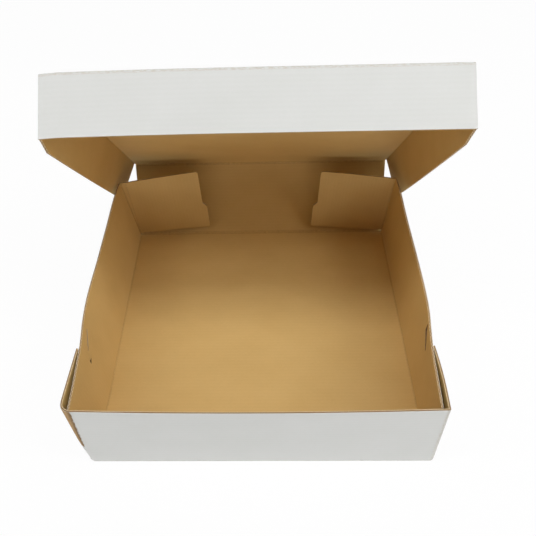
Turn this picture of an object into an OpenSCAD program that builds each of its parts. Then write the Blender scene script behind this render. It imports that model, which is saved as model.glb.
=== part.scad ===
// Pastry box folded from one sheet of white-lined kraft board, standing open.
// Origin at the centre of the underside, front wall towards -Y, lid fold towards +Y, +Z up.
// The sheet is split only along the folds that move.

/* [Board] */
// Thickness of the board
board = 1.5; // [1:0.1:2]
// Inner radius of a set fold
fold_radius = 0.5; // [0.3:0.1:1]
// Clearance in a fold that moves
fold_gap = 0.3; // [0.2:0.05:0.5]
// Clearance between boards that lap
lap_gap = 0.4; // [0.3:0.05:0.8]

/* [Tray] */
// Width over the front wall
tray_width = 258.5; // [235:0.5:290]
// Depth from the front face to the back face
tray_depth = 253; // [230:1:290]
// Height of the front and side walls
wall_height = 69; // [62:0.5:80]
// Inward lean of the front wall in degrees
front_lean = 3.2; // [0:0.1:4]
// Outward lean of the left wall at its front end in degrees
left_front_lean = 0.4; // [-1:0.1:0.6]
// Outward lean of the left wall at its back end in degrees
left_back_lean = 4.0; // [2:0.1:4.2]
// Outward lean of the right wall at its front end in degrees
right_front_lean = -3.6; // [-4:0.1:0.6]
// Outward lean of the right wall at its back end in degrees
right_back_lean = 3.5; // [2:0.1:3.7]

/* [Front tabs] */
// Length of the tabs from the front face to the hook
tab_length = 56; // [48:1:66]
// Height of the tabs' lower edge above the table
tab_lift = 6; // [4:0.5:12]
// Drop of the tabs' top edge below the top of the front wall
tab_drop = 1; // [0.5:0.1:3]
// Outward lean of the left tab at the split corner in degrees
left_tab_lean = 0.9; // [0:0.1:1]
// Outward lean of the right tab in degrees
right_tab_lean = 0; // [0:0.1:1]

/* [Hooks] */
// Height of the hook that passes through the side wall
hook_height = 10; // [7:0.5:14]
// Drop of the hook's top below the top of the wall
hook_drop = 3; // [2:0.5:8]
// Length of wall in which the hook passes through it
hook_run = 13; // [10:0.5:18]
// Backward slant of the hook and its window in degrees
hook_slant = 14; // [0:1:20]
// Length of the left hook's tip inside the tray
left_hook_tip = 9; // [2:0.5:14]
// Length of the right hook's tip inside the tray
right_hook_tip = 2; // [2:0.5:14]

/* [Corner flaps] */
// Length of the flaps from their fold
flap_length = 70; // [55:1:85]
// Extra length of the flaps' lower part
flap_step = 4; // [0:0.5:8]
// Height of the flaps' longer lower part
flap_step_height = 25; // [15:1:40]
// Height of the flaps' lower edge above the side fold
flap_lift = 3; // [2:0.5:8]
// Drop of the flaps' top edge below the top of the side wall
flap_drop = 0.8; // [0.6:0.1:6]
// Corner radius of the flaps' free ends
flap_corner = 2.5; // [1:0.5:5]
// Clearance between the flaps and the back wall when it stands upright
flap_gap = 0.6; // [0.3:0.1:1.5]

/* [Back wall and lid] */
// Lean of the back wall behind upright in degrees
back_lean = 43.8; // [20:0.1:60]
// Slope of the lid above level in degrees
lid_angle = 49; // [45:0.1:75]
// Clearance at each side of the tray under the closed lid
lid_side_gap = 1.75; // [1.7:0.05:5]
// Clearance in front of the tray under the closed lid
lid_front_gap = 6.2; // [3:0.1:8]
// Clearance above the side walls under the closed lid
lid_head_gap = 5; // [4.5:0.1:8]
// Height of the lid's front flap
lid_flap_height = 41; // [30:0.5:50]
// Outward splay of the left side flap at the fold end in degrees
left_splay_angle = 19; // [18:1:30]
// Outward splay of the right side flap at the fold end in degrees
right_splay_angle = 13; // [12:1:30]
// Height of the lid's side flaps near the front
lid_side_front = 45; // [35:0.5:50]
// Height of the lid's side flaps at the fold end
lid_side_back = 41; // [30:0.5:50]
// Length of the sloping front corner of the side flaps
lid_notch = 14; // [4:0.5:25]

/* [Hidden] */

kraft = [0.73, 0.57, 0.36];
white_liner = [0.86, 0.86, 0.85];

// Rounding of the set folds
fold_steps = 5;
fold_mid = fold_radius + board / 2;
fold_outer = fold_radius + board;
half_board = board / 2;

// Tray outlines
front_y = -tray_depth / 2;
front_half = tray_width / 2;
side_half = front_half - board - lap_gap;
base_edge = side_half - fold_outer;
front_fold_y = front_y + fold_outer;
back_axis_y = tray_depth / 2 - half_board;
back_axis_z = half_board;
wall_run = wall_height - fold_outer;
front_shift = tan(front_lean);
wall_front_y = front_y + board + front_shift * wall_run + lap_gap;
flap_axis_y = back_axis_y - half_board - flap_gap - board;

// The lean of a side wall grows quickly behind the front tabs and slowly after that
flare_ease = 0.6;
wall_stations = 10;
nose_steps = 4;

// Front tabs and hooks
tab_end_y = front_y + tab_length;
tab_top_z = wall_height - tab_drop;
tab_stations = 6;
hook_top_z = wall_height - hook_drop;
hook_bottom_z = hook_top_z - hook_height;
hook_middle_z = (hook_top_z + hook_bottom_z) / 2;
hook_shift = tan(hook_slant);

// Back wall and lid, built closed about their own fold axes
panel_start = half_board + fold_gap;
hinge_height = wall_height + lid_head_gap;
hinge_y = back_axis_y + hinge_height * sin(back_lean);
hinge_z = back_axis_z + hinge_height * cos(back_lean);
lid_half = front_half + lid_side_gap + board;
lid_edge = lid_half - fold_outer;
lid_length = back_axis_y - front_y + lid_front_gap + board;
lid_fold_y = -(lid_length - fold_outer);
lid_flap_start = 2 * board;
lid_flap_end = lid_fold_y + lap_gap;
lid_stations = 6;

// Points of a circle's arc in a plane
function arc(centre, radius, first, last, steps = fold_steps) =
    [for (i = [0 : steps])
        let (angle = first + (last - first) * i / steps)
        centre + radius * [cos(angle), sin(angle)]];

function reversed(list) = [for (i = [len(list) - 1 : -1 : 0]) list[i]];

function mirrored(ring) = [for (p = ring) [-p.x, p.y, p.z]];

function blend(first, last, share) = first * (1 - share) + last * share;

// Closed skin through rings of points, each ring with the same number of points
module loft(rings) {
    count = len(rings);
    sides = len(rings[0]);
    skin = [for (i = [0 : count - 2], j = [0 : sides - 1])
        let (a = i * sides + j)
        let (b = i * sides + (j + 1) % sides)
        each [[a, b, b + sides], [a, b + sides, a + sides]]];
    first_cap = [for (j = [sides - 1 : -1 : 0]) j];
    last_cap = [for (j = [0 : sides - 1]) (count - 1) * sides + j];
    polyhedron([for (ring = rings) each ring], concat([first_cap], skin, [last_cap]));
}

// Profile given in Y and Z, drawn out along X to both sides
module along_x(half_length) {
    rotate([90, 0, 90])
        linear_extrude(2 * half_length, center = true)
            children();
}

// Right-hand shape as it is, or its mirror image for the left
module on_side(side) {
    mirror([side < 0 ? 1 : 0, 0, 0])
        children();
}

// Lean of a side wall in degrees, given its leans at both ends
function lean_at(leans, y) =
    let (share = (y - wall_front_y) / (flap_axis_y - wall_front_y))
    blend(leans[0], leans[1], pow(max(0, min(1, share)), flare_ease));

// Outer face of a side wall at one height
function wall_x(leans, y, z) =
    let (lean = lean_at(leans, y))
    base_edge + fold_outer * cos(lean) + (z - fold_outer * (1 - sin(lean))) * tan(lean);

// Section through a side wall and its fold to the base, with its inside face in place
function wall_ring(leans, y, thickness) =
    let (lean = lean_at(leans, y))
    let (centre = [base_edge, fold_outer])
    let (outer = arc(centre, fold_radius + thickness, -90, -lean))
    let (inner = arc(centre, fold_radius, -lean, -90))
    let (rise = wall_run * [sin(lean), cos(lean)])
    [for (p = concat(outer, [outer[fold_steps] + rise, inner[0] + rise], inner)) [p.x, y, p.y]];

// Side wall with a rounded outer back edge, which is the parent side of the corner flap's fold
module side_wall(leans) {
    straight = [for (i = [0 : wall_stations])
        wall_ring(leans, blend(wall_front_y, flap_axis_y, i / wall_stations), board)];
    nose = [for (i = [1 : nose_steps])
        let (angle = 80 * i / nose_steps)
        wall_ring(leans, flap_axis_y + board * sin(angle), board * cos(angle))];
    difference() {
        loft(concat(straight, nose));
        hook_window();
    }
}

// Slanted window in a side wall that takes the hook of the front tab
module hook_window() {
    low = hook_bottom_z - lap_gap;
    high = hook_top_z + lap_gap;
    low_y = tab_end_y + hook_shift * (low - hook_middle_z);
    high_y = tab_end_y + hook_shift * (high - hook_middle_z);
    translate([base_edge, 0, 0])
        along_x(base_edge / 2)
            polygon([
                [low_y, low],
                [low_y + hook_run, low],
                [high_y + hook_run, high],
                [high_y, high]
            ]);
}

// Middle of a front tab's board, from the corner fold to the outside of the side wall
function tab_x(leans, flare, y, z) =
    let (share = (y - front_fold_y) / (tab_end_y - front_fold_y))
    let (corner_x = front_half - half_board + tan(flare) * (z - fold_outer))
    let (wall_side_x = wall_x(leans, y, z) + lap_gap + half_board)
    blend(corner_x, wall_side_x, share);

// Section through the corner fold between front wall and tab, which rises from the front wall's foot
function corner_ring(flare, angle) =
    let (low = blend(fold_outer, tab_lift, angle / 90))
    let (high = blend(wall_height, tab_top_z, angle / 90))
    [for (corner = [[-1, low], [1, low], [1, high], [-1, high]])
        let (radius = fold_mid + corner[0] * half_board)
        let (above = corner[1] - fold_outer)
        [
            front_half - fold_outer + radius * sin(angle) + tan(flare) * above,
            front_fold_y - radius * cos(angle) + front_shift * above,
            corner[1]
        ]];

// Section through a front tab
function tab_ring(leans, flare, share) =
    let (y = blend(front_fold_y, tab_end_y, share))
    [for (corner = [[-1, tab_lift], [1, tab_lift], [1, tab_top_z], [-1, tab_top_z]])
        let (z = corner[1])
        let (front_slant = front_shift * (z - fold_outer))
        let (hook_slope = hook_shift * (z - hook_middle_z))
        [
            tab_x(leans, flare, y, z) + corner[0] * half_board,
            y + blend(front_slant, hook_slope, share),
            z
        ]];

function tab_rings(leans, flare) = concat(
    [for (i = [0 : fold_steps - 1]) corner_ring(flare, 90 * i / fold_steps)],
    [for (i = [0 : tab_stations]) tab_ring(leans, flare, i / tab_stations)]
);

// Front wall and both tabs as one bent strip
module front_strip(left_leans, right_leans) {
    left = [for (ring = reversed(tab_rings(left_leans, left_tab_lean))) mirrored(ring)];
    loft(concat(left, tab_rings(right_leans, right_tab_lean)));
}

// Section through a hook, which crosses from the outside of the wall to the inside
function hook_ring(leans, distance) =
    let (y = tab_end_y + distance)
    let (share = min(1, distance / hook_run))
    let (outside = lap_gap + half_board)
    let (inside = -board - lap_gap - half_board)
    [for (corner = [[-1, hook_bottom_z], [1, hook_bottom_z], [1, hook_top_z], [-1, hook_top_z]])
        let (z = corner[1])
        [
            wall_x(leans, y, z) + blend(outside, inside, share) + corner[0] * half_board,
            y + hook_shift * (z - hook_middle_z),
            z
        ]];

module hook(leans, tip) {
    loft([for (distance = [0, hook_run / 2, hook_run, hook_run + tip]) hook_ring(leans, distance)]);
}

// Base panel with a rounded back edge, which is the parent side of the back wall's fold
module base_panel() {
    nose = arc([back_axis_y, back_axis_z], half_board, -90, 90, 2 * nose_steps);
    along_x(base_edge)
        polygon(concat([[front_fold_y, 0]], nose, [[front_fold_y, board]]));
}

// Fold between the base and the front wall
module front_fold() {
    centre = [front_fold_y, fold_outer];
    outer = arc(centre, fold_outer, -180, -90);
    inner = arc(centre, fold_radius, -90, -180);
    along_x(front_half - fold_outer)
        polygon(concat(outer, inner));
}

module tray() {
    left_leans = [left_front_lean, left_back_lean];
    right_leans = [right_front_lean, right_back_lean];
    color(kraft) {
        base_panel();
        front_fold();
        front_strip(left_leans, right_leans);
        on_side(-1) side_wall(left_leans);
        on_side(1) side_wall(right_leans);
        on_side(-1) hook(left_leans, left_hook_tip);
        on_side(1) hook(right_leans, right_hook_tip);
    }
}

// Outline of a corner flap from its fold, with a longer lower part
function flap_outline() =
    let (top = wall_run - flap_drop)
    let (low_length = flap_length + flap_step)
    let (step_z = flap_lift + flap_step_height)
    concat(
        [[fold_gap, flap_lift]],
        arc([low_length - flap_corner, flap_lift + flap_corner], flap_corner, -90, 0),
        [[low_length, step_z], [flap_length, step_z + flap_step]],
        arc([flap_length - flap_corner, top - flap_corner], flap_corner, 0, 90),
        [[fold_gap, top]]
    );

// Corner flap, folded in at the back end of a side wall about the board's inside face
module corner_flap(side, lean) {
    color(kraft)
        on_side(side)
            translate([
                base_edge + fold_radius * cos(lean),
                flap_axis_y,
                fold_outer - fold_radius * sin(lean)
            ])
                rotate([0, lean, 0])
                    rotate([90, 0, 180])
                        linear_extrude(board)
                            polygon(flap_outline());
}

module corner_flap_left() {
    corner_flap(-1, left_back_lean);
}

module corner_flap_right() {
    corner_flap(1, right_back_lean);
}

// Back wall, wider at the lid than at the base, with a rounded top edge under the lid's fold
module back_wall() {
    edge = arc([0, hinge_height], half_board, 0, 180, 2 * nose_steps);
    top = hinge_height + board;
    color(kraft)
        translate([0, back_axis_y, back_axis_z])
            rotate([-back_lean, 0, 0])
                intersection() {
                    along_x(lid_half)
                        polygon(concat([[-half_board, panel_start], [half_board, panel_start]], edge));
                    rotate([90, 0, 0])
                        linear_extrude(2 * board, center = true)
                            polygon([[-base_edge, 0], [base_edge, 0], [lid_edge, top], [-lid_edge, top]]);
                }
}

// Section through a side flap of the closed lid
function lid_ring(splay, y, run) =
    let (centre = [lid_edge, -fold_mid])
    let (outer = arc(centre, fold_mid + half_board, 90, splay))
    let (inner = arc(centre, fold_mid - half_board, splay, 90))
    let (fall = run * [sin(splay), -cos(splay)])
    [for (p = concat(outer, [outer[fold_steps] + fall, inner[0] + fall], inner)) [p.x, y, p.y]];

// Side flap of the lid, square at the front corner and splayed at the fold end
module lid_side_flap(back_splay) {
    rings = [for (i = [0 : lid_stations])
        let (share = i / lid_stations)
        let (y = blend(-lid_flap_start, lid_flap_end + lid_notch, share))
        let (height = blend(lid_side_back, lid_side_front, share))
        lid_ring(back_splay * (lid_flap_end - y) / lid_flap_end, y, height - fold_outer)];
    loft(concat(rings, [lid_ring(0, lid_flap_end, lid_flap_height - fold_outer)]));
}

// Front flap of the lid with its fold
module lid_front_flap() {
    centre = [lid_fold_y, -fold_mid];
    low = half_board - lid_flap_height;
    outer = arc(centre, fold_outer, 90, 180);
    inner = arc(centre, fold_radius, 180, 90);
    along_x(lid_half)
        polygon(concat(outer, [[-lid_length, low], [-lid_length + board, low]], inner));
}

module lid() {
    color(white_liner)
        translate([0, hinge_y, hinge_z])
            rotate([-lid_angle, 0, 0]) {
                along_x(lid_edge)
                    polygon([
                        [lid_fold_y, -half_board],
                        [-panel_start, -half_board],
                        [-panel_start, half_board],
                        [lid_fold_y, half_board]
                    ]);
                lid_front_flap();
                on_side(-1) lid_side_flap(left_splay_angle);
                on_side(1) lid_side_flap(right_splay_angle);
            }
}

tray();
back_wall();
lid();
corner_flap_left();
corner_flap_right();
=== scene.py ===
"""Pastry box of white-lined kraft board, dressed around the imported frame."""
import math

import bpy
import numpy as np
from mathutils import Matrix, Vector


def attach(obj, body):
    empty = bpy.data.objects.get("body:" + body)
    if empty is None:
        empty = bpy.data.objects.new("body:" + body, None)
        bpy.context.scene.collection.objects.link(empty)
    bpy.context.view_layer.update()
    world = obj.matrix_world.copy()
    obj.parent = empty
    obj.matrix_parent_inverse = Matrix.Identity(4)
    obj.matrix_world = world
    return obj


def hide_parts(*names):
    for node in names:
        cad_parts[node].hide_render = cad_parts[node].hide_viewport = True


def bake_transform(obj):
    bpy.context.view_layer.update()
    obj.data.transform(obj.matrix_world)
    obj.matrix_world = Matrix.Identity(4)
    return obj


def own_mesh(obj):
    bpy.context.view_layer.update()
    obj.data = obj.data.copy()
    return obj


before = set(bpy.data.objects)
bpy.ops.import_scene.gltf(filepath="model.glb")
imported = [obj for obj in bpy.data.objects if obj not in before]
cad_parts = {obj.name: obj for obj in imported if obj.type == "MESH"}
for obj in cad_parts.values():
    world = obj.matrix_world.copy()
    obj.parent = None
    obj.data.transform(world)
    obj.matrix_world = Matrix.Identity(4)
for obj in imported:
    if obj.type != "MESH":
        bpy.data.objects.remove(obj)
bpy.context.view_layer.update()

# Sizes in millimetres. Tables by side have -1 for left and 1 for right.
MM = 0.001
BOARD = 1.5
HALF_BOARD = BOARD / 2
FLUTE = 3.2
# Inner and outer radius of a set fold, its facets, and the length that it takes on the flat blank
FOLD_IN = 0.5
FOLD_OUT = FOLD_IN + BOARD
FOLD_STEPS = 5
FOLD_FLAT = 1.0
# Gap between boards that lap
LAP = 0.4
# Distance within which two places count as one
NEAR = 0.01

# Base and front wall: edges are distances from the middle, the front wall's on the left and on the right
BASE_EDGE = 125.35
FRONT_EDGE, RIGHT_EDGE = 127.25, 127.85
FRONT_FOLD_Y = -124.5
FRONT_SHIFT = math.tan(math.radians(3.2))
FRONT_BOW, BOW_POWER = 1.7, 1.2
# The front wall runs a little past its left corner fold. The overrun grows between these heights.
CORNER_OUT, CORNER_OUT_Z = 3.3, (-4.0, 30.0)
# The board is cracked open at that corner from this height up, and the left tab bulges out
CRACK_LOW, BULGE_POWER = 20.0, 0.9

# Side walls, which rise towards their back corners from one place on
WALL_TOP = 69.0
WALL_RUN = WALL_TOP - FOLD_OUT
BACK_RISE, RISE_FROM = 2.8, 60.0
# Place of their front ends on the blank, and their gap to the front wall
WALL_FRONT_Y = -120.1
FRONT_GAP = 0.8
# Outer face of their top edges, read off the photograph and rounded: places from front to back, and distances
# from the middle
WALL_TOPS = {
    -1: ([-122, -106, -88, -66, -44, -24, 0, 20, 52, 90, 106, 122.4],
         [132.7, 133.2, 134.2, 135.7, 138.6, 140.2, 140.3, 139.7, 139.5, 138.7, 137.8, 136.4]),
    1: ([-122, -108, -90, -73, -55, -36, -15, 15, 42, 74, 109, 122.4],
        [124.6, 125.4, 126.4, 127.4, 129.5, 131.9, 132.9, 133.1, 133.0, 132.7, 132.2, 131.6]),
}

# Front tabs, whose ends slant
TAB_LOW, TAB_TOP, TAB_END_Y = 6.0, 68.0, -70.5
TAB_SLANT, TAB_SLANT_Z = math.tan(math.radians(14)), 61.0
TAB_HEIGHTS = (TAB_LOW, 7.2, 14, 22, 30, 38, 46, 50, 54, 58, 62, 65, 67, TAB_TOP)
TAB_ROWS = [(z - TAB_LOW) / (TAB_TOP - TAB_LOW) for z in TAB_HEIGHTS]
RIGHT_TAB_BULGE = 0.8
# Plan of the bulged left tab's top edge: distance from the middle, and distance behind the front wall
BULGED_CORNER = [(127.25, 0.0), (129.0, 0.0), (130.6, 0.1), (132.6, 0.6), (134.6, 1.6), (136.4, 3.2),
                 (137.2, 5.2)]
BULGED_RUN = [(137.5, 8), (137.4, 13), (137.2, 19), (137.0, 26), (136.8, 33), (136.6, 39.5), (136.4, 44.5),
              (136.2, 48.5), (136.0, 51.5)]

# Windows in the side walls: heights, places, rise towards the back, the place without rise, and the height
# of the front end as a share of the back end
WINDOW_BAND = {-1: (49.6, 55.2), 1: (53.4, 61.6)}
WINDOW_Y = {-1: (-67.5, -60.5), 1: (-61.5, -46.5)}
WINDOW_RISE = {-1: 0.45, 1: 0.7}
WINDOW_TURN = {-1: -59.5, 1: -53.5}
WINDOW_TAPER = {-1: 1.0, 1: 0.3}
# How far below a window its slant fades out
WINDOW_MARGIN = 6.0
# Reach of the board around a window whose cut edge is painted dark as shade, before it and behind it
SLOT_SHADE_FRONT, SLOT_SHADE_BACK = 8.0, 5.0
# Hooks, and where they are drawn on the flat blank
HOOK_FLAT = 200.0, 190.0
# The left one is pressed thin. It rises, goes through its window and leaves the wall at these distances from
# the end of its tab.
LEFT_HOOK_BAND, LEFT_HOOK_LENGTH, LEFT_HOOK_BOARD = (48.0, 56.5), 24.0, 0.6
LEFT_HOOK_RISES, LEFT_HOOK_PASSES, LEFT_HOOK_LEAVES = (0.0, 4.0), (2.5, 10.0), (9.0, LEFT_HOOK_LENGTH)
LEFT_HOOK_GAP, LEFT_HOOK_END_GAP = 0.1, 0.3
# The right one lies along the outside of its wall, and lifts off it over its first part
RIGHT_HOOK_ROWS, RIGHT_HOOK_LENGTH = TAB_HEIGHTS[5:9], 33.5
RIGHT_HOOK_LIFT, RIGHT_HOOK_LIFT_RUN = 1.8, 10.0

# Corner flaps: fold, lean, lower and top edge, heights where the length changes, both lengths, corner radius
FLAP_Y = 122.9
FLAP_LEAN = {-1: math.radians(4.0), 1: math.radians(3.5)}
FLAP_LOW, FLAP_TOP = 3.0, WALL_RUN - 0.4
FLAP_STEP, FLAP_STEP_END = 28.0, 32.0
FLAP_LONG, FLAP_SHORT = 74.0, 70.0
FLAP_RADIUS = 2.5
# How far their free ends bend back, at the lower edge and at the top, and how the bend grows up and along
FLAP_BEND = {-1: (3.6, 14.0), 1: (2.6, 12.0)}
FLAP_UP_POWER, FLAP_ALONG_POWER = 1.2, 0.85

# Back wall and lid: places on the lid are measured from its hinge
BACK_Y, BACK_Z = 125.75, 0.75
BACK_LEAN = math.radians(43.8)
HINGE = 74.0
LID_ANGLE = math.radians(49.0)
LID_EDGE, LID_HALF = 130.5, 132.5
LID_FOLD, LID_LENGTH = 257.95, 259.95
LID_FLAP = 41.0
LID_SIDE_BACK = 41.0
LID_SIDE_FRONT = {-1: 45.8, 1: 45.0}
LID_SIDE_END = LID_FOLD - 0.4
LID_NOTCH = {-1: 14.0, 1: 20.0}
LID_SPLAY = {-1: math.radians(19), 1: math.radians(13)}
# Rise of the slightly twisted lid at its front edge, from left to right, and how it grows towards there
LID_RISE = ([-140, -131, -126, -110, -80, -50, -20, 20, 60, 140],
            [-0.6, -0.5, 0.2, 0.5, 0.9, 1.15, 1.25, 1.25, 1.25, 1.25])
LID_RISE_POWER = 1.5
# Its spread to the right, between these distances from the middle, in full this far from the hinge
LID_SPREAD, LID_SPREAD_X, LID_SPREAD_RUN = 0.7, (40.0, 128.0), 60.0
# Place of the lid's fold on the flat blank
LID_FLAT = BACK_Y + HINGE
# The creases that bend: their reach into the panels beside them, their rounding, and the first one's start
CREASE_REACH, CREASE_ROUND = 4.0, 1.5
CREASE_START_Y = 122.0
CREASE_START_HALF = BASE_EDGE + 1.4
PANEL_SHARES = np.linspace(-1, 1, 31)

# Points that lie on the inner side of each sheet
IN_TRAY, BEFORE_BACK, IN_LID, BELOW_HINGE = (0, 0, 40), (0, 60, 80), (0, 40, 100), (0, 100, 70)


# Procedural board

# Grain of the paper: stretch of the noise across and along the flutes, per millimetre
CLOUD_GRAIN, FIBRE_GRAIN, FLECK_GRAIN = (0.035, 0.02, 1), (2.6, 0.35, 1), (0.9, 0.35, 1)
EDGE_GRAIN, TORN_GRAIN, RAGGED_GRAIN = (1.7, 1.1, 1), (1.8, 0.5, 1), (0.3, 0.9, 1)
# Sockets of a colour mix node
MIX_SHARE, MIX_FIRST, MIX_SECOND, MIX_RESULT = 0, 6, 7, 2


class Nodes:
    """Short names for making shader nodes in one material."""

    def __init__(self, name):
        self.material = bpy.data.materials.new(name)
        self.material.use_nodes = True
        self.tree = self.material.node_tree
        self.shader = self.tree.nodes["Principled BSDF"]

    def new(self, kind, **values):
        node = self.tree.nodes.new(kind)
        for key, value in values.items():
            setattr(node, key, value)
        return node

    def link(self, source, target):
        self.tree.links.new(source, target)

    def feed(self, socket, value):
        """Sets a number or a colour on a socket, or links another node's output to it."""
        if isinstance(value, (int, float)):
            socket.default_value = value
        elif isinstance(value, tuple):
            socket.default_value = (*value, 1)
        else:
            self.link(value, socket)

    def math(self, operation, *values, clamp=False):
        node = self.new("ShaderNodeMath", operation=operation, use_clamp=clamp)
        for socket, value in zip(node.inputs, values):
            self.feed(socket, value)
        return node.outputs[0]

    def centred(self, value, weight, base, clamp=False):
        """Adds a value that runs from 0 to 1 to a base, by its distance from the middle."""
        return self.math("MULTIPLY_ADD", self.math("SUBTRACT", value, 0.5), weight, base, clamp=clamp)

    def ramp(self, value, low, high):
        """0 below low, 1 above high, smooth between."""
        node = self.new("ShaderNodeMapRange", interpolation_type="SMOOTHSTEP", clamp=True)
        node.inputs["From Min"].default_value = low
        node.inputs["From Max"].default_value = high
        self.link(value, node.inputs["Value"])
        return node.outputs["Result"]

    def mix(self, share, first, second):
        node = self.new("ShaderNodeMix", data_type="RGBA")
        for index, value in ((MIX_SHARE, share), (MIX_FIRST, first), (MIX_SECOND, second)):
            self.feed(node.inputs[index], value)
        return node.outputs[MIX_RESULT]

    def noise(self, vector, grain, detail, roughness):
        stretch = self.new("ShaderNodeVectorMath", operation="MULTIPLY")
        self.link(vector, stretch.inputs[0])
        stretch.inputs[1].default_value = grain
        node = self.new("ShaderNodeTexNoise")
        node.inputs["Scale"].default_value = 1.0
        node.inputs["Detail"].default_value = detail
        node.inputs["Roughness"].default_value = roughness
        self.link(stretch.outputs[0], node.inputs["Vector"])
        return node.outputs["Fac"]

    def blank(self):
        """Place on the flat blank in millimetres: across the flutes, along the flutes."""
        return self.new("ShaderNodeUVMap", uv_map="blank").outputs["UV"]

    def split(self, vector):
        """The first two parts of a vector."""
        parts = self.new("ShaderNodeSeparateXYZ")
        self.link(vector, parts.inputs[0])
        return parts.outputs["X"], parts.outputs["Y"]

    def attribute(self, name):
        return self.new("ShaderNodeAttribute", attribute_name=name).outputs["Fac"]

    def finish(self, colour, roughness, specular):
        self.link(colour, self.shader.inputs["Base Color"])
        self.feed(self.shader.inputs["Roughness"], roughness)
        self.shader.inputs["Specular IOR Level"].default_value = specular

    def bump(self, height, strength, distance):
        node = self.new("ShaderNodeBump")
        node.inputs["Strength"].default_value = strength
        node.inputs["Distance"].default_value = distance
        self.link(height, node.inputs["Height"])
        self.link(node.outputs["Normal"], self.shader.inputs["Normal"])


def rgb(*levels):
    """Linear colour of an 8-bit screen colour, for levels above 10."""
    return tuple(((level / 255 + 0.055) / 1.055) ** 2.4 for level in levels)


def flute_wave(n, blank):
    """Height of the flutes under the liner, 0 to 1."""
    across, _ = n.split(blank)
    wave = n.math("SINE", n.math("MULTIPLY", across, 2 * math.pi / FLUTE))
    return n.math("MULTIPLY_ADD", wave, 0.5, 0.5)


def liner(name, light, dark, cracked, fibre, specks, washboard, crack_and_shade_share):
    """Paper face of the board: cloudy formation, fibres along the machine, and the flutes showing faintly.
    Along the folds it takes the cracked colour in patches, which on the kraft inside of the folds is painted
    shade in the creases, and on the white outside is cracked liner.
    """
    n = Nodes(name)
    blank = n.blank()
    clouds = n.noise(blank, CLOUD_GRAIN, detail=4.0, roughness=0.55)
    fibres = n.noise(blank, FIBRE_GRAIN, detail=3.0, roughness=0.6)
    flecks = n.noise(blank, FLECK_GRAIN, detail=2.0, roughness=0.7)
    wave = flute_wave(n, blank)
    tone = n.centred(clouds, 1.1, 0.5)
    tone = n.centred(fibres, fibre, tone)
    tone = n.centred(wave, washboard, tone, clamp=True)
    colour = n.mix(tone, dark, light)
    speck = n.math("MULTIPLY", n.ramp(flecks, 0.66, 0.74), specks)
    colour = n.mix(speck, colour, dark)
    # Patches along the folds in the cracked colour: painted shade in the creases for the kraft inside face,
    # cracked liner for the white outside face
    crease = n.math("MULTIPLY", n.ramp(n.attribute("crease"), 0.25, 0.95), crack_and_shade_share)
    crack_and_shade = n.math("MULTIPLY", crease, n.ramp(fibres, 0.38, 0.62))
    colour = n.mix(crack_and_shade, colour, cracked)
    n.finish(colour, roughness=n.math("MULTIPLY_ADD", fibres, 0.16, 0.62), specular=0.25)
    height = n.math("MULTIPLY_ADD", wave, 0.5, n.math("MULTIPLY", fibres, 0.12))
    n.bump(height, strength=0.14, distance=0.00012)
    return n.material


def cut_edge(name, painted_shade):
    """Cut edge of the board: both liners and the wavy medium between them, with the flute hollows painted
    dark as shade, and darkened further by a given share as painted shade, which the edge around a slot gets.
    """
    n = Nodes(name)
    blank = n.blank()
    through = n.attribute("shell")
    medium_place = n.math("MULTIPLY_ADD", flute_wave(n, blank), 0.66, 0.17)
    off_medium = n.math("ABSOLUTE", n.math("SUBTRACT", through, medium_place))
    medium = n.math("SUBTRACT", 1.0, n.ramp(off_medium, 0.08, 0.2))
    off_middle = n.math("ABSOLUTE", n.math("SUBTRACT", through, 0.5))
    liners = n.ramp(off_middle, 0.33, 0.42)
    paper = n.math("MAXIMUM", medium, liners)
    fibres = n.noise(blank, EDGE_GRAIN, detail=3.0, roughness=0.6)
    light = n.mix(fibres, rgb(206, 178, 132), rgb(232, 214, 182))
    pale = n.mix(n.ramp(through, 0.8, 0.95), light, rgb(226, 222, 212))
    # The flute hollows between the medium and the liners get a dark brown: painted shade
    colour = n.mix(paper, rgb(142, 108, 68), pale)
    # Painted shade: the cut edge darkened by the given share, for the shade inside a slot
    colour = n.mix(painted_shade, colour, rgb(84, 56, 26))
    n.finish(colour, roughness=0.85, specular=0.15)
    n.bump(n.math("MULTIPLY_ADD", fibres, 0.4, paper), strength=0.5, distance=0.0003)
    return n.material


def torn_liner(name, white):
    """Outside of the cracked corner: a ragged wedge of brown board beside the fold, white face around it. The
    brown is darker next to the fold as painted shade.
    """
    n = Nodes(name)
    blank = n.blank()
    across, along = n.split(blank)
    lift = n.math("SUBTRACT", FRONT_FOLD_Y - FOLD_FLAT, across)
    beside = n.math("SUBTRACT", n.math("MULTIPLY", along, -1.0), FRONT_EDGE + CORNER_OUT)
    fibres = n.noise(blank, TORN_GRAIN, detail=4.0, roughness=0.65)
    ragged = n.noise(blank, RAGGED_GRAIN, detail=4.0, roughness=0.7)
    above = n.math("MULTIPLY", n.math("SUBTRACT", lift, CRACK_LOW), 0.3)
    inside = n.math("MINIMUM", above, n.math("ADD", beside, 0.6))
    inside = n.math("MINIMUM", inside, n.math("SUBTRACT", 8.5, beside))
    depth = n.math("ADD", inside, n.math("MULTIPLY_ADD", ragged, 2.4, -1.2))
    torn = n.ramp(depth, -0.3, 0.5)
    # Torn brown board, darker next to the fold: painted shade
    brown = n.mix(n.ramp(beside, 0.2, 3.2), rgb(104, 74, 44), rgb(176, 140, 96))
    brown = n.mix(n.math("MULTIPLY", fibres, 0.5), brown, rgb(206, 178, 138))
    n.finish(n.mix(torn, white, brown), roughness=0.85, specular=0.15)
    n.bump(n.math("MULTIPLY_ADD", torn, -1.2, fibres), strength=0.6, distance=0.0005)
    return n.material


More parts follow.
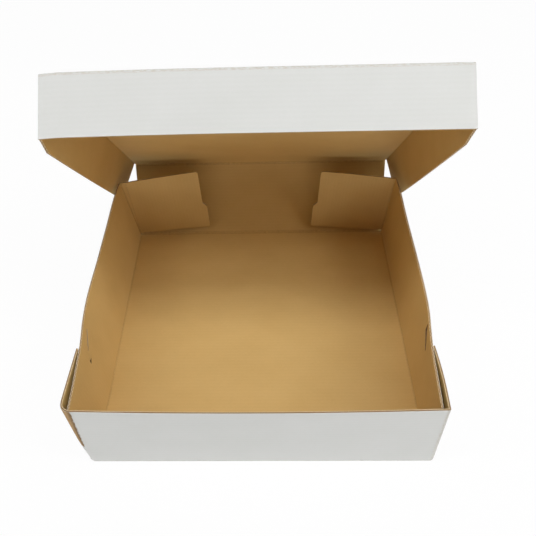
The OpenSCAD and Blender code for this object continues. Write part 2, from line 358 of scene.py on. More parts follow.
# The kraft lines the inside of the folds, where its cracked colour is painted shade in the creases; the
# white's cracked colour is cracked liner on the outside of the folds
KRAFT = liner("kraft_liner", light=rgb(216, 183, 121), dark=rgb(202, 168, 106), cracked=rgb(150, 112, 62),
              fibre=0.9, specks=0.5, washboard=0.12, crack_and_shade_share=0.45)
WHITE = liner("white_liner", light=rgb(219, 219, 217), dark=rgb(211, 212, 208), cracked=rgb(186, 170, 146),
              fibre=0.7, specks=0.25, washboard=0.16, crack_and_shade_share=0.4)
EDGE = cut_edge("cut_edge", painted_shade=0.0)
SHADED_SLOT_EDGE = cut_edge("slot_edge_painted_shade", painted_shade=0.85)
TORN = torn_liner("torn_liner", white=rgb(215, 215, 212))
# Inside, outside and rim of whole board, then the same of board with a torn face, and around a slot, where
# the rim is painted dark as shade
BOARD_MATERIALS = [KRAFT, WHITE, EDGE, KRAFT, TORN, EDGE, KRAFT, WHITE, SHADED_SLOT_EDGE]
WHOLE, TORN_FACE, BY_SLOT = 0, 3, 6


# Sheets of board

# Decimals of a millimetre to which points are welded, and the bend above which an edge is crisp
WELD_DIGITS = 2
CRISP_ANGLE = math.radians(40)


class Sheet:
    """Inside face of folded board, gathered from grids of points that are welded where they meet."""

    def __init__(self, name, inside):
        self.name = name
        self.inside = np.array(inside, float)
        self.points, self.crease, self.index = [], [], {}
        self.faces, self.blank, self.kinds = [], [], []

    def vertex(self, point, crease):
        key = tuple(np.round(point, WELD_DIGITS))
        if key not in self.index:
            self.index[key] = len(self.points)
            self.points.append(point)
            self.crease.append(crease)
        i = self.index[key]
        self.crease[i] = max(self.crease[i], crease)
        return i

    def grid(self, points, blank, crease=None, keep=None, kinds=None):
        """Adds the faces of a grid, turned to the inside. keep and kinds have one entry for each face."""
        points, blank = np.array(points, float), np.array(blank, float)
        rows, columns = points.shape[:2]
        for r in range(rows - 1):
            for c in range(columns - 1):
                if keep is not None and not keep[r][c]:
                    continue
                corners = [(r, c), (r, c + 1), (r + 1, c + 1), (r + 1, c)]
                p = [points[k] for k in corners]
                normal = np.cross(p[2] - p[0], p[3] - p[1])
                if normal @ (self.inside - sum(p) / 4) < 0:
                    corners.reverse()
                ids = [self.vertex(points[k], 0 if crease is None else crease[k[0]][k[1]]) for k in corners]
                if len(set(ids)) < 4:
                    continue
                self.faces.append(ids)
                self.blank.append([blank[k] for k in corners])
                self.kinds.append(WHOLE if kinds is None else kinds[r][c])

    def make(self, thickness=BOARD):
        mesh = bpy.data.meshes.new(self.name)
        mesh.from_pydata([tuple(p * MM) for p in self.points], [], self.faces)
        layer = mesh.uv_layers.new(name="blank")
        layer.data.foreach_set("uv", np.array(self.blank, np.float32).ravel())
        crease = mesh.attributes.new("crease", "FLOAT", "POINT")
        crease.data.foreach_set("value", np.array(self.crease, np.float32))
        for material in BOARD_MATERIALS:
            mesh.materials.append(material)
        mesh.polygons.foreach_set("material_index", self.kinds)
        mesh.polygons.foreach_set("use_smooth", [True] * len(self.faces))
        mesh.update()
        piece = bpy.data.objects.new(self.name, mesh)
        bpy.context.scene.collection.objects.link(piece)
        piece.vertex_groups.new(name="shell")
        thick = piece.modifiers.new("board", "SOLIDIFY")
        thick.thickness = thickness * MM
        thick.offset = -1
        thick.use_even_offset = True
        thick.use_quality_normals = True
        thick.material_offset = 1
        thick.material_offset_rim = 2
        thick.shell_vertex_group = "shell"
        split = piece.modifiers.new("crisp_edges", "EDGE_SPLIT")
        split.split_angle = CRISP_ANGLE
        return piece


class Rows:
    """Points, places on the blank and creases of a grid, gathered row by row."""

    def __init__(self):
        self.points, self.blank, self.crease = [], [], []

    def start(self):
        for table in (self.points, self.blank, self.crease):
            table.append([])

    def add(self, point, flat, crease=0.0):
        self.points[-1].append(point)
        self.blank[-1].append(flat)
        self.crease[-1].append(crease)

    def tables(self):
        return self.points, self.blank, self.crease


def arc(centre, radius, first, last):
    """Points of a set fold's round, between two angles in degrees."""
    angles = np.radians(np.linspace(first, last, FOLD_STEPS + 1))
    return [(centre[0] + radius * math.cos(a), centre[1] + radius * math.sin(a)) for a in angles]


def smooth(value, low, high):
    """0 at low, 1 at high, level at both."""
    t = np.clip((value - low) / (high - low), 0, 1)
    return t * t * (3 - 2 * t)


def smooth_table(xs, ys, x):
    """Smooth curve through a table of points."""
    xs, ys = np.array(xs, float), np.array(ys, float)
    slopes = np.gradient(ys, xs)
    i = int(np.clip(np.searchsorted(xs, x) - 1, 0, len(xs) - 2))
    h = xs[i + 1] - xs[i]
    t = np.clip((x - xs[i]) / h, 0, 1)
    return ((2 * t**3 - 3 * t**2 + 1) * ys[i] + (t**3 - 2 * t**2 + t) * h * slopes[i]
            + (3 * t**2 - 2 * t**3) * ys[i + 1] + (t**3 - t**2) * h * slopes[i + 1])


def front_inner_y(z):
    """Inside face of the front wall at one height, without its bow."""
    return FRONT_FOLD_Y - FOLD_IN + FRONT_SHIFT * (z - FOLD_OUT)


def wall_stretch(y):
    """Height of a side wall at one place, as a share of its plain height."""
    return 1 + BACK_RISE / WALL_RUN * smooth(y, RISE_FROM, FLAP_Y)


def wall_lean(side, y):
    """Outward lean of a side wall at one place."""
    return math.atan((smooth_table(*WALL_TOPS[side], y) - BASE_EDGE - FOLD_OUT) / WALL_RUN)


def wall_outer(side, y, z):
    """Outer face of a side wall at one height, as a distance from the middle."""
    lean = wall_lean(side, y)
    return BASE_EDGE + FOLD_OUT * math.cos(lean) + (z - FOLD_OUT * (1 - math.sin(lean))) * math.tan(lean)


# Tray

def tray_main():
    """Base, front wall and the right front tab."""
    sheet = Sheet("tray_board", IN_TRAY)
    # The path runs forward over the base and up the front wall: place, height, place on the blank, crease
    ys = [CREASE_START_Y, 118, *np.linspace(108, -112, 23), -119, -123]
    path = [(y, BOARD, y, 0.0) for y in ys]
    path.append((FRONT_FOLD_Y, BOARD, FRONT_FOLD_Y, 1.0))
    bend = arc((FRONT_FOLD_Y, FOLD_OUT), FOLD_IN, -90, -180)
    for step, (y, z) in enumerate(bend[1:-1], 1):
        path.append((y, z, FRONT_FOLD_Y - FOLD_FLAT * step / FOLD_STEPS, 1.0))
    for share in TAB_ROWS:
        z = FOLD_OUT + WALL_RUN * share
        flat_y = FRONT_FOLD_Y - FOLD_FLAT - WALL_RUN * share
        path.append((front_inner_y(z), z, flat_y, 1.0 if share == 0 else 0.0))
    edge = BASE_EDGE - BOARD
    xs = [-FRONT_EDGE, -BASE_EDGE, -edge, *np.linspace(-116, 116, 23), edge, BASE_EDGE, RIGHT_EDGE]
    last_base_row = len(ys)
    rows, keep = Rows(), []
    for r, (y, z, flat_y, fold) in enumerate(path):
        on_base = r <= last_base_row
        bow = 0.0 if on_base else -FRONT_BOW * max(0, (z - FOLD_OUT) / WALL_RUN) ** BOW_POWER
        rows.start()
        for x in xs:
            side_fold = on_base and abs(abs(x) - BASE_EDGE) < NEAR
            corner_fold = not on_base and x > RIGHT_EDGE - NEAR and z > FOLD_OUT
            point = x, y + bow * (1 - (x / FRONT_EDGE) ** 2), z
            rows.add(point, (flat_y, x), 1.0 if side_fold or corner_fold else fold)
        keep.append([not (r < last_base_row and abs(x0 + x1) / 2 > BASE_EDGE) for x0, x1 in zip(xs, xs[1:])])
    sheet.grid(*rows.tables(), keep)
    sheet.grid(*right_tab())
    return sheet.make()


def tab_rows():
    """Heights of a tab's rows at its corner fold and behind it, and the place of each row on the blank."""
    for share in TAB_ROWS:
        yield (FOLD_OUT + WALL_RUN * share, TAB_LOW + (TAB_TOP - TAB_LOW) * share,
               FRONT_FOLD_Y - FOLD_FLAT - WALL_RUN * share)


def tab_end_y(z):
    """Slanting end of a tab at one height."""
    return TAB_END_Y + TAB_SLANT * (z - TAB_SLANT_Z)


def right_tab():
    """Right front tab, from the front wall's corner fold to its slanting end on the side wall."""
    rows = Rows()
    start_x = RIGHT_EDGE + FOLD_IN
    for corner_z, z, flat_y in tab_rows():
        rows.start()
        for angle in np.linspace(0, 90, 7):
            a = math.radians(angle)
            bend_z = corner_z + (z - corner_z) * angle / 90
            y = front_inner_y(bend_z) + FOLD_IN - FOLD_IN * math.cos(a)
            flat = flat_y, RIGHT_EDGE + FOLD_FLAT * angle / 90
            rows.add((RIGHT_EDGE + FOLD_IN * math.sin(a), y, bend_z), flat, 1.0)
        start_y = front_inner_y(z) + FOLD_IN
        run = tab_end_y(z) - start_y
        end_x = wall_outer(1, TAB_END_Y, z) + LAP
        for share in np.linspace(0, 1, 10)[1:]:
            x = start_x + (end_x - start_x) * share**2 + RIGHT_TAB_BULGE * math.sin(math.pi * share)
            rows.add((x, start_y + run * share, z), (flat_y, RIGHT_EDGE + FOLD_FLAT + run * share))
    return rows.tables()


def right_hook():
    """Right hook, slipped out of its window and lying along the outside of the wall."""
    sheet = Sheet("hook_right_board", IN_TRAY)
    tip_y = TAB_END_Y + RIGHT_HOOK_LENGTH
    rows = Rows()
    for z in RIGHT_HOOK_ROWS:
        start_y = tab_end_y(z)
        rows.start()
        for share in (0, 0.06, 0.14, 0.24, 0.36, 0.5, 0.65, 0.82, 1):
            y = start_y + (tip_y - start_y) * share
            lift = LAP + RIGHT_HOOK_LIFT * smooth(y - TAB_END_Y, 0, RIGHT_HOOK_LIFT_RUN)
            x = wall_outer(1, max(y, TAB_END_Y), z) + lift
            rows.add((x, y, z), (-HOOK_FLAT[0] - z, HOOK_FLAT[1] + RIGHT_HOOK_LENGTH * share))
    sheet.grid(*rows.tables())
    return sheet.make()


def left_tab():
    """Left front tab, bulged out at its cracked corner: a plain plan low down, the bulged plan at its top."""
    sheet = Sheet("tab_left_board", IN_TRAY)
    lengths = np.cumsum([0, *(math.dist(p, q) for p, q in zip(BULGED_CORNER, BULGED_CORNER[1:]))])
    bend = np.radians(np.linspace(0, 90, len(BULGED_CORNER) - 2))
    shares = np.linspace(0, 1, len(BULGED_RUN) + 1)[1:]
    rows = Rows()
    for corner_z, z, flat_y in tab_rows():
        rows.start()
        bulge = float(np.clip((z - CRACK_LOW) / (TAB_TOP - CRACK_LOW), 0, 1)) ** BULGE_POWER
        corner_x = FRONT_EDGE + CORNER_OUT * float(smooth(z, *CORNER_OUT_Z))
        plain_corner = [(FRONT_EDGE, 0.0), ((FRONT_EDGE + corner_x) / 2, 0.0)]
        plain_corner += [(corner_x + FOLD_IN * math.sin(a), FOLD_IN - FOLD_IN * math.cos(a)) for a in bend]
        for k, ((x, y), (bulged_x, bulged_y)) in enumerate(zip(plain_corner, BULGED_CORNER)):
            bend_z = corner_z + (z - corner_z) * k / (len(BULGED_CORNER) - 1)
            point = -(x + bulge * (bulged_x - x)), front_inner_y(bend_z) + y + bulge * (bulged_y - y), bend_z
            rows.add(point, (flat_y, -(FRONT_EDGE + lengths[k])), 0.0 if k < 2 else 1.0)
        front_y = front_inner_y(z)
        run = tab_end_y(z) - front_y
        start_x = corner_x + FOLD_IN
        end_x = wall_outer(-1, TAB_END_Y, z) + LAP
        for share, (bulged_x, bulged_y) in zip(shares, BULGED_RUN):
            if share == 1:
                bulged_x = max(bulged_x, end_x)
            x = start_x + (end_x - start_x) * share**2
            y = front_y + FOLD_IN + (run - FOLD_IN) * share
            x += bulge * (bulged_x - x)
            y += bulge * (1 - share) * (front_y + bulged_y - y)
            rows.add((-x, y, z), (flat_y, -(FRONT_EDGE + lengths[-1] + run * share)))
    columns = len(rows.points[0]) - 1
    kinds = [[TORN_FACE if c < len(BULGED_CORNER) else WHOLE for c in range(columns)]] * (len(TAB_ROWS) - 1)
    sheet.grid(*rows.tables(), kinds=kinds)
    return sheet.make()


def left_hook_point(distance, z):
    """Inner face of the left hook, which passes from the outside of its wall to the inside."""
    y = TAB_END_Y + distance
    through = smooth(distance, *LEFT_HOOK_PASSES)
    z += WINDOW_RISE[-1] * (y - WINDOW_TURN[-1]) * smooth(distance, *LEFT_HOOK_RISES)
    gap = LEFT_HOOK_GAP + (LEFT_HOOK_END_GAP - LEFT_HOOK_GAP) * smooth(distance, *LEFT_HOOK_LEAVES)
    x = wall_outer(-1, y, z) + (1 - through) * LAP - through * (BOARD + LEFT_HOOK_BOARD + gap)
    return -x, y, z


def left_hook():
    """Left hook, starting just inside the tab that it belongs to."""
    sheet = Sheet("hook_left_board", IN_TRAY)
    rows = Rows()
    for z in np.linspace(*LEFT_HOOK_BAND, 4):
        rows.start()
        for distance in (*range(-1, 24, 2), LEFT_HOOK_LENGTH):
            rows.add(left_hook_point(distance, z), (-HOOK_FLAT[0] - z, -(HOOK_FLAT[1] + distance)))
    sheet.grid(*rows.tables())
    return sheet.make(LEFT_HOOK_BOARD)


def wall_point(side, y, lift, inward=0.0, place=None):
    """Point of a side wall's inside face. A lift below 0 counts back the steps of the fold to the base."""
    lean = wall_lean(side, y)
    if lift < 0:
        angle = -math.pi / 2 + (math.pi / 2 - lean) * (FOLD_STEPS + lift) / FOLD_STEPS
        x, z = BASE_EDGE + FOLD_IN * math.cos(angle), FOLD_OUT + FOLD_IN * math.sin(angle)
    else:
        x = BASE_EDGE + FOLD_IN * math.cos(lean) + lift * math.sin(lean)
        z = FOLD_OUT - FOLD_IN * math.sin(lean) + lift * math.cos(lean)
    x -= inward * math.cos(lean)
    z += inward * math.sin(lean)
    return side * x, (y if place is None else place), z


def window_lifts(side):
    """Lower and upper edge of a window, measured up the wall from its fold."""
    return [z - FOLD_OUT for z in WINDOW_BAND[side]]


def window_pull(side, y, lift):
    """How far the wall's grid is pulled up around its window, which slants and tapers."""
    front, back = WINDOW_Y[side]
    if lift <= 0 or not front <= y <= back:
        return 0.0
    low, top = window_lifts(side)
    share = np.interp(lift, [low - WINDOW_MARGIN, low, top, WALL_RUN], [0, 1, 1, 0])
    squeeze = (WINDOW_TAPER[side] - 1) * (back - y) / (back - front)
    rise = WINDOW_RISE[side] * (y - WINDOW_TURN[side])
    return share * (rise + squeeze * (np.clip(lift, low, top) - (low + top) / 2))


def side_wall(side):
    """Side wall with its fold to the base, the window for the hook, and the fold to its corner flap."""
    sheet = Sheet("wall_left_board" if side < 0 else "wall_right_board", IN_TRAY)
    window_low, window_top = window_lifts(side)
    bend_y = FLAP_Y - FOLD_IN
    ys = [WALL_FRONT_Y, -112, -101, -90, -80, -73, *np.linspace(*WINDOW_Y[side], 5), -46, -38, -28,
          -18, -8, 4, 16, 28, 40, 52, 64, 76, 86, 94, 101, 107, 112, 116, 119.5, bend_y]
    lifts = [*range(-FOLD_STEPS, 0), 0, 2, 8, 16, 24, 32, window_low - WINDOW_MARGIN,
             *np.linspace(window_low, window_top, 5), (window_top + WALL_RUN) / 2, WALL_RUN]
    lean = FLAP_LEAN[side]
    rows = Rows()
    for lift in lifts:
        rows.start()
        flat_run = FOLD_FLAT * (FOLD_STEPS + lift) / FOLD_STEPS if lift < 0 else FOLD_FLAT + lift
        flat_x = side * (BASE_EDGE + flat_run)
        for c, y in enumerate(ys):
            place = front_inner_y(FOLD_OUT + max(0, lift)) + FRONT_GAP if c == 0 else y
            pulled = (lift + window_pull(side, y, lift)) * (wall_stretch(y) if lift > 0 else 1)
            rows.add(wall_point(side, y, pulled, place=place), (y, flat_x), 1.0 if lift <= 0 else 0.0)
        tall = lift * wall_stretch(FLAP_Y) if lift > 0 else lift
        for inward, y in arc((FOLD_IN, bend_y), FOLD_IN, 180, 90)[1:]:
            rows.add(wall_point(side, bend_y, tall, inward, y), (FLAP_Y + inward, flat_x), 1.0)
        # Sliver of board between the wall's bowed end and the straight fold that the flap turns on
        end_x, _, end_z = rows.points[-1][-1]
        gap = max(2 * NEAR, side * end_x - BASE_EDGE - tall * math.sin(lean))
        climb = FOLD_OUT + tall * math.cos(lean) - end_z if lift > 0 else 0.0
        for share in (0.5, 1.0):
            point = end_x - side * gap * share, FLAP_Y, end_z + climb * share
            rows.add(point, (FLAP_Y + 2 * FOLD_IN + gap * share, flat_x))
    sheet.grid(*rows.tables(), *wall_faces(side, ys, lifts, len(rows.points[0]) - 1))
    return sheet.make()


def wall_faces(side, ys, lifts, columns):
    """Which faces of a side wall's grid are kept, with the window left open, and the materials they get."""
    window_front, window_back = WINDOW_Y[side]
    window_low, window_top = window_lifts(side)
    keep, kinds = [], []
    for low, high in zip(lifts, lifts[1:]):
        middle = (low + high) / 2
        near_slot = window_low - WINDOW_MARGIN < middle and high < WALL_RUN
        keep.append([])
        kinds.append([])
        for c in range(columns):
            on_wall = c < len(ys) - 1
            in_window = (on_wall and ys[c] >= window_front and ys[c + 1] <= window_back
                         and window_low < middle < window_top)
            # Board around a window gets the slot material, whose rims are painted dark as shade
            by_slot = (near_slot and on_wall
                       and window_front - SLOT_SHADE_FRONT < ys[c] < window_back + SLOT_SHADE_BACK)
            keep[-1].append(not in_window and (on_wall or middle > 0))
            kinds[-1].append(BY_SLOT if by_slot else WHOLE)
    return keep, kinds


def corner_flap(side):
    """Corner flap, longer low down, bent back towards its free end and risen at its fold."""
    sheet = Sheet("flap_left_board" if side < 0 else "flap_right_board", IN_TRAY)
    lean = FLAP_LEAN[side]
    fold_x, fold_z = BASE_EDGE + FOLD_IN * math.cos(lean), FOLD_OUT - FOLD_IN * math.sin(lean)
    origin = np.array([side * fold_x, FLAP_Y, fold_z])
    up = np.array([side * math.sin(lean), 0, math.cos(lean)])
    inward = np.array([-side * math.cos(lean), 0, math.sin(lean)])
    rounding = [0, 0.15, 0.6, 1.3, FLAP_RADIUS]
    heights = [*(FLAP_LOW + r for r in rounding), 12, 20, FLAP_STEP - 0.6, FLAP_STEP, FLAP_STEP_END,
               33, 40, 47, 54, 60, *(FLAP_TOP - r for r in reversed(rounding))]
    bend_low, bend_top = FLAP_BEND[side]
    rows = Rows()
    for h in heights:
        rows.start()
        length = float(np.interp(h, [FLAP_STEP, FLAP_STEP_END], [FLAP_LONG, FLAP_SHORT]))
        for edge in (h - FLAP_LOW, FLAP_TOP - h):
            if edge < FLAP_RADIUS:
                length -= FLAP_RADIUS - math.sqrt(FLAP_RADIUS**2 - (FLAP_RADIUS - edge) ** 2)
        up_share = (h - FLAP_LOW) / (FLAP_TOP - FLAP_LOW)
        end_bend = bend_low + (bend_top - bend_low) * up_share**FLAP_UP_POWER
        for share in (0, 0.02, 0.08, 0.16, 0.25, 0.35, 0.45, 0.55, 0.65, 0.75, 0.84, 0.91, 0.96, 1):
            d = FOLD_IN + (length - FOLD_IN) * share
            bend = (2 * d / (FLAP_LONG + FLAP_SHORT)) ** FLAP_ALONG_POWER * end_bend
            tall = h * (1 + BACK_RISE / FLAP_TOP * (1 - share))
            point = origin + d * inward + tall * up + np.array([0, bend, 0])
            flat = FLAP_Y + d, side * (BASE_EDGE + FOLD_FLAT + h)
            rows.add(point, flat, 1.0 if share == 0 else 0.0)
    sheet.grid(*rows.tables())
    return sheet.make()


# Back wall and lid

def on_back_wall(x, h, off=-HALF_BOARD):
    """Point at height h on the leaning back wall; off is measured outwards from the board's middle."""
    return (x, BACK_Y + h * math.sin(BACK_LEAN) + off * math.cos(BACK_LEAN),
            BACK_Z + h * math.cos(BACK_LEAN) - off * math.sin(BACK_LEAN))


def on_lid(x, s, drop):
    """Point on the lid: s runs from the hinge to the front, drop below the middle of the lid's board."""
    _, y0, z0 = on_back_wall(0, HINGE, 0)
    x += LID_SPREAD * smooth(x, *LID_SPREAD_X) * min(1.0, s / LID_SPREAD_RUN)
    drop -= float(np.interp(x, *LID_RISE)) * max(0.0, (s - CREASE_REACH) / LID_LENGTH) ** LID_RISE_POWER
    return (x, y0 - s * math.cos(LID_ANGLE) - drop * math.sin(LID_ANGLE),
            z0 + s * math.sin(LID_ANGLE) - drop * math.cos(LID_ANGLE))


def back_half(h):
    """Half the back wall's width at one height."""
    return BASE_EDGE + (LID_EDGE - BASE_EDGE) * h / (HINGE + BOARD)


def back_wall():
    """Back wall between its two creases."""
    sheet = Sheet("back_wall_board", BEFORE_BACK)
    rows = Rows()
    for h in np.linspace(CREASE_REACH, HINGE - CREASE_REACH, 14):
        rows.start()
        for u in PANEL_SHARES:
            rows.add(on_back_wall(u * back_half(h), h), (BACK_Y + h, u * back_half(h)))
    sheet.grid(*rows.tables())
    return sheet.make()


def crease_path(before, corner, after):
    """Round path in the plane across a crease, from one panel to the next."""
    before, corner, after = (np.array(p, float) for p in (before, corner, after))
    a, b = (corner + CREASE_ROUND * (p - corner) / np.linalg.norm(p - corner) for p in (before, after))
    curve = [(1 - t) ** 2 * a + 2 * t * (1 - t) * corner + t**2 * b for t in np.linspace(0, 1, 7)]
    return [before, (before + a) / 2, *curve, (after + b) / 2, after]


def crease_strip(name, path, half_first, half_last, flat_first, inside):
    """Strip of board along a crease, and the ends of its bend."""
    sheet = Sheet(name, inside)
    lengths = np.cumsum([0, *(math.dist(p, q) for p, q in zip(path, path[1:]))])
    first_bent, last_bent = 2, len(path) - 3
    rows = Rows()
    for i, ((y, z), run) in enumerate(zip(path, lengths)):
        half = half_first + (half_last - half_first) * run / lengths[-1]
        fold = 1.0 if first_bent <= i <= last_bent else 0.0
        rows.start()
        for u in PANEL_SHARES:
            rows.add((u * half, y, z), (flat_first + run, u * half), fold)
    sheet.grid(*rows.tables())
    return sheet.make(), mm(0, *path[first_bent]), mm(0, *path[last_bent])


def back_crease():
    """Crease between the base and the back wall."""
    _, *after = on_back_wall(0, CREASE_REACH)
    # Where the inside faces of the base and of the back wall meet
    wall_foot = HALF_BOARD - HALF_BOARD * math.sin(BACK_LEAN)
    corner_y = BACK_Y - HALF_BOARD * math.cos(BACK_LEAN) + wall_foot * math.tan(BACK_LEAN)
    path = crease_path((CREASE_START_Y, BOARD), (corner_y, BOARD), after)
    piece, start, end = crease_strip("back_fold_board", path, CREASE_START_HALF, back_half(CREASE_REACH),
                                     CREASE_START_Y, BEFORE_BACK)
    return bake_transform(piece)


def lid_crease():
    """Crease between the back wall and the lid."""
    top = HINGE - CREASE_REACH
    before, after = (np.array(p[1:]) for p in (on_back_wall(0, top), on_lid(0, CREASE_REACH, HALF_BOARD)))
    # Where the inside faces of the back wall and of the lid meet
    wall_way = np.array([math.sin(BACK_LEAN), math.cos(BACK_LEAN)])
    lid_way = np.array([math.cos(LID_ANGLE), -math.sin(LID_ANGLE)])
    reach, _ = np.linalg.solve(np.array([wall_way, -lid_way]).T, after - before)
    path = crease_path(before, before + reach * wall_way, after)
    piece, start, end = crease_strip("lid_fold_board", path, back_half(top), LID_EDGE, BACK_Y + top,
                                     BELOW_HINGE)
    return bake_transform(piece)


def lid():
    """Lid's panel, front flap and side flaps."""
    sheet = Sheet("lid_board", IN_LID)
    places = [CREASE_REACH, *np.linspace(14, 228, 22), 237.55, 243.55, 248, 252.5, LID_FOLD - 1.4, LID_FOLD]
    flap_start, flap_end = HALF_BOARD + FOLD_IN, LID_FLAP - HALF_BOARD
    # The path runs forward over the panel and down the front flap: place, drop, place on the blank, crease
    path = [(s, HALF_BOARD, LID_FLAT + s, 1.0 if s == LID_FOLD else 0.0) for s in places]
    for step, (s, d) in enumerate(arc((LID_FOLD, flap_start), FOLD_IN, -90, 0)[1:], 1):
        path.append((s, d, LID_FLAT + LID_FOLD + FOLD_FLAT * step / FOLD_STEPS, 1.0))
    for share in (0.03, *np.linspace(0, 1, 12)[1:]):
        d = flap_start + (flap_end - flap_start) * share
        path.append((LID_LENGTH - BOARD, d, LID_FLAT + LID_FOLD + FOLD_FLAT + d - flap_start, 0.0))
    edge = LID_EDGE - BOARD
    xs = [-LID_HALF, -LID_EDGE, -edge, *np.linspace(-121, 121, 23), edge, LID_EDGE, LID_HALF]
    last_panel_row = len(places) - 1
    rows, keep = Rows(), []
    for r, (s, d, flat, fold) in enumerate(path):
        rows.start()
        for x in xs:
            side_fold = r <= last_panel_row and abs(abs(x) - LID_EDGE) < NEAR
            rows.add(on_lid(x, s, d), (flat, x), 1.0 if side_fold else fold)
        keep.append([not (r < last_panel_row and abs(x0 + x1) / 2 > LID_EDGE) for x0, x1 in zip(xs, xs[1:])])
    sheet.grid(*rows.tables(), keep)
    for side in (-1, 1):
        sheet.grid(*lid_side(side, places))
    return sheet.make()


def lid_side(side, places):
    """Side flap of the lid, which splays out towards the hinge and slopes at its front corner."""
    rows = Rows()
    for s in places:
        rows.start()
        splay = LID_SPLAY[side] * max(0, LID_SIDE_END - s) / LID_SIDE_END
        for k in range(FOLD_STEPS + 1):
            a = (math.pi / 2 - splay) * k / FOLD_STEPS
            drop = HALF_BOARD + FOLD_IN - FOLD_IN * math.cos(a)
            point = on_lid(side * (LID_EDGE + FOLD_IN * math.sin(a)), s, drop)
            rows.add(point, (LID_FLAT + s, side * (LID_EDGE + FOLD_FLAT * k / FOLD_STEPS)), 1.0)
        start_x = LID_EDGE + FOLD_IN * math.cos(splay)
        start_drop = HALF_BOARD + FOLD_IN - FOLD_IN * math.sin(splay)
        height = np.interp(s, [0, LID_SIDE_END - LID_NOTCH[side], LID_SIDE_END],
                           [LID_SIDE_BACK, LID_SIDE_FRONT[side], LID_FLAP])
        for share in (0.04, 0.15, 0.3, 0.45, 0.6, 0.75, 0.88, 0.96, 1):
            h = (height - FOLD_OUT) * share
            point = on_lid(side * (start_x + h * math.sin(splay)), s, start_drop + h * math.cos(splay))
            rows.add(point, (LID_FLAT + s, side * (LID_EDGE + FOLD_FLAT + h)))
    return rows.tables()


# Pieces on their bodies


def mm(*point):
    """Point in metres, given in millimetres."""
    return tuple(v * MM for v in point)


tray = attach(tray_main(), "tray")
wall_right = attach(side_wall(1), "tray")
wall_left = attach(side_wall(-1), "tray")
tab_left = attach(left_tab(), "tray")
hook_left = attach(left_hook(), "tray")
hook_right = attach(right_hook(), "tray")
flap_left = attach(corner_flap(-1), "corner_flap_left")
flap_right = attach(corner_flap(1), "corner_flap_right")
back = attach(back_wall(), "back_wall")
lid_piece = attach(lid(), "lid")
back_fold = back_crease()
lid_fold = lid_crease()

# The bowed walls, the hooks, the left tab and the bent flaps each get a mesh of their own.
for piece in (wall_left, hook_left):
    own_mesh(piece)
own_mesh(wall_right)
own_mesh(hook_right)
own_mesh(tab_left)
for piece in (flap_left, flap_right):
    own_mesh(piece)

for piece, nodes, slot in (
    (tray, ["tray"], "kraft_board"),
    (back, ["back_wall"], "kraft_board"),
    (lid_piece, ["lid"], "white_board"),
    (flap_left, ["corner_flap_left"], "kraft_board"),
    (flap_right, ["corner_flap_right"], "kraft_board"),
    (wall_left, ["tray"], "kraft_board"),
    (wall_right, ["tray"], "kraft_board"),
    (tab_left, ["tray"], "kraft_board"),
    (hook_left, ["tray"], "kraft_board"),
    (hook_right, ["tray"], "kraft_board"),
    (back_fold, ["tray", "back_wall"], "kraft_board"),
    (lid_fold, ["back_wall", "lid"], "white_board"),
):
    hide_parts(*nodes)


# Stage, light and camera, in metres

FLOOR_HALF, FLOOR_GREY, FLOOR_ROUGHNESS = 4.0, 0.9, 0.9
# Share of plain white in what the camera sees of the floor, which leaves room for the object's shadow
SEEN_WHITE = 0.95
WORLD_LIGHT = 0.01
# What the lamps point at
SUBJECT, LID_SUBJECT = (0, -0.1, 0.03), (0, 0.1, 0.15)


def seen_white(n, share):
    """Mixes plain white into what the camera sees of a surface, and leaves the light that it gives alone."""
    path = n.new("ShaderNodeLightPath")
    seen = n.math("MAXIMUM", path.outputs["Is Camera Ray"],
                  n.math("MAXIMUM", path.outputs["Is Glossy Ray"], path.outputs["Is Transmission Ray"]))
    glow = n.new("ShaderNodeEmission")
    glow.inputs["Strength"].default_value = 1.0
    both = n.new("ShaderNodeMixShader")
    n.link(n.math("MULTIPLY", seen, share), both.inputs["Fac"])
    n.link(n.shader.outputs[0], both.inputs[1])
    n.link(glow.outputs[0], both.inputs[2])
    n.link(both.outputs[0], n.tree.nodes["Material Output"].inputs["Surface"])


def studio_floor():
    """Floor that is close to white for the camera and still takes a faint shadow."""
    n = Nodes("studio_floor")
    n.shader.inputs["Base Color"].default_value = (FLOOR_GREY, FLOOR_GREY, FLOOR_GREY, 1)
    n.shader.inputs["Roughness"].default_value = FLOOR_ROUGHNESS
    seen_white(n, SEEN_WHITE)
    mesh = bpy.data.meshes.new("studio_floor")
    corners = [(x * FLOOR_HALF, y * FLOOR_HALF, 0) for x, y in ((-1, -1), (1, -1), (1, 1), (-1, 1))]
    mesh.from_pydata(corners, [], [(0, 1, 2, 3)])
    mesh.materials.append(n.material)
    floor = bpy.data.objects.new("studio_floor", mesh)
    bpy.context.scene.collection.objects.link(floor)
    return floor


def studio_world():
    """World that gives little light and looks white to the camera."""
    world = bpy.data.worlds.new("studio")
    world.use_nodes = True
    bpy.context.scene.world = world
    tree = world.node_tree
    sky = tree.nodes["Background"]
    white = tree.nodes.new("ShaderNodeBackground")
    for background, strength in ((sky, WORLD_LIGHT), (white, 1.0)):
        background.inputs["Color"].default_value = (1, 1, 1, 1)
        background.inputs["Strength"].default_value = strength
    path = tree.nodes.new("ShaderNodeLightPath")
    choose = tree.nodes.new("ShaderNodeMixShader")
    tree.links.new(path.outputs["Is Camera Ray"], choose.inputs["Fac"])
    tree.links.new(sky.outputs[0], choose.inputs[1])
    tree.links.new(white.outputs[0], choose.inputs[2])
    tree.links.new(choose.outputs[0], tree.nodes["World Output"].inputs["Surface"])


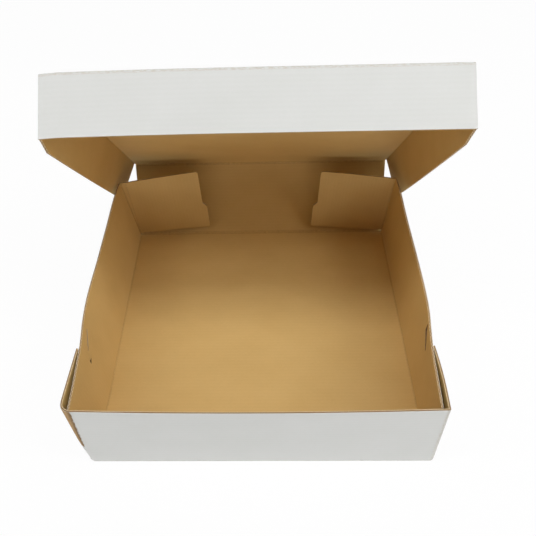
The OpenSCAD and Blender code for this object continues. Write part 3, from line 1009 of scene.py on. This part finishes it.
def softbox(name, place, target, size, power):
    """Rectangular lamp that points at a target."""
    light = bpy.data.lights.new(name, "AREA")
    light.shape = "RECTANGLE"
    light.size, light.size_y = size
    light.energy = power
    lamp = bpy.data.objects.new(name, light)
    lamp.location = place
    lamp.rotation_mode = "QUATERNION"
    lamp.rotation_quaternion = (Vector(target) - Vector(place)).to_track_quat("-Z", "Y")
    bpy.context.scene.collection.objects.link(lamp)


studio_floor()
studio_world()
softbox("overhead", (0, -0.25, 1.3), SUBJECT, size=(3.0, 0.3), power=14.2)
softbox("right", (1.0, -0.35, 0.9), SUBJECT, size=(0.5, 0.5), power=3.7)
softbox("right_low", (1.1, -0.35, 0.6), SUBJECT, size=(0.5, 0.5), power=2.3)
softbox("left", (-1.0, -0.35, 0.9), SUBJECT, size=(0.5, 0.5), power=2.6)
softbox("back", (0, 1.3, 1.1), LID_SUBJECT, size=(2.0, 0.5), power=9.0)
softbox("front", (0, -1.4, 0.25), SUBJECT, size=(2.0, 0.3), power=6.6)

# Camera fitted to the box's corners in the photograph. The lens and the picture's centre are in pixels, the
# sensor and the camera's place in millimetres.
PITCH, YAW, ROLL = (math.radians(a) for a in (46.697, -2.433, 2.441))
FOCAL_PX, IMAGE_PX, SENSOR = 590.58, 536, 36.0
CENTRE_X, CENTRE_Y = 249.639, 266.201
CAMERA_PLACE = 6.233, -326.032, 429.016


def photo_camera():
    """Camera that sees the box as the photograph does."""
    forward = np.array([math.sin(YAW) * math.cos(PITCH), math.cos(YAW) * math.cos(PITCH), -math.sin(PITCH)])
    right = np.array([math.cos(YAW), -math.sin(YAW), 0])
    down = np.cross(forward, right)
    image_x = right * math.cos(ROLL) + down * math.sin(ROLL)
    image_y = -right * math.sin(ROLL) + down * math.cos(ROLL)
    data = bpy.data.cameras.new("camera")
    data.sensor_width = SENSOR
    data.lens = FOCAL_PX * SENSOR / IMAGE_PX
    data.shift_x = (IMAGE_PX / 2 - CENTRE_X) / IMAGE_PX
    data.shift_y = (CENTRE_Y - IMAGE_PX / 2) / IMAGE_PX
    data.clip_start = 0.01
    camera = bpy.data.objects.new("camera", data)
    bpy.context.scene.collection.objects.link(camera)
    axes = Matrix([image_x, -image_y, -forward]).transposed().to_4x4()
    camera.matrix_world = Matrix.Translation(mm(*CAMERA_PLACE)) @ axes
    return camera


bpy.context.scene.camera = photo_camera()
bpy.context.scene.view_settings.view_transform = "Standard"
